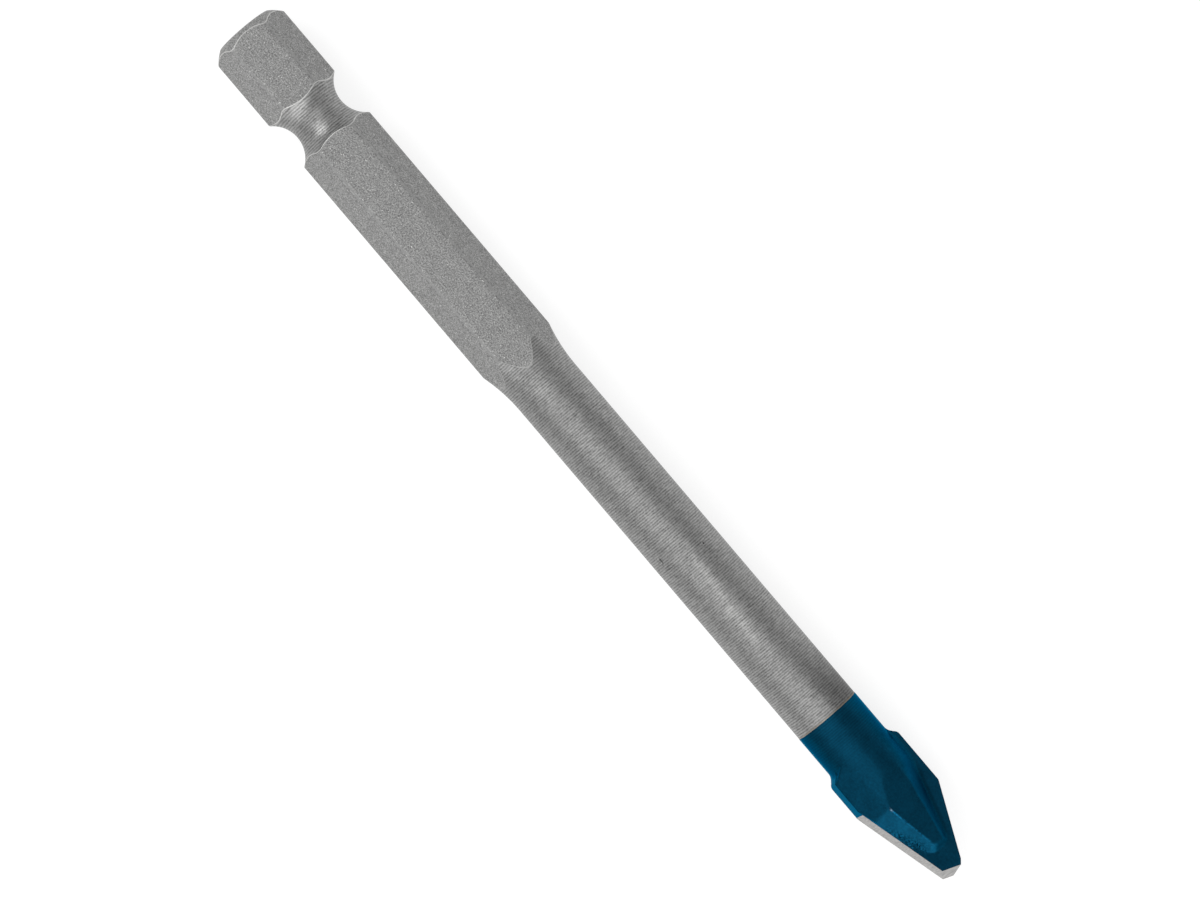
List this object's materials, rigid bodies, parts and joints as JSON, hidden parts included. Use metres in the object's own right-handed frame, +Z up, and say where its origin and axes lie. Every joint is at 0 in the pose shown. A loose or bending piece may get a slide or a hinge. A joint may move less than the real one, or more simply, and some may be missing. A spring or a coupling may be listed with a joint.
{
  "type": "glass and tile drill bit",
  "caption": "Straight drill bit for glass and tile with a hex drive, detent groove, round shaft and an asymmetric carbide spear-point plate brazed into a slotted, painted head.",
  "frame": {"origin": "on the surface the bit lies on, below the middle of its length and its axis", "axes": "+X along the axis towards the point, +Z up, away from the hex flat that the bit lies on"},
  "size_m": [0.0914, 0.0072, 0.0063],
  "materials": {
    "turned_steel": "bead-blasted and turned bare steel, dull grey, with dark blue paint on the head",
    "painted_carbide": "satin dark blue paint, ground off to bare grey carbide on the lips and the nose"
  },
  "bodies": {
    "root": {"shank": "turned_steel", "carbide_tip": "painted_carbide"}
  },
  "joints": []
}
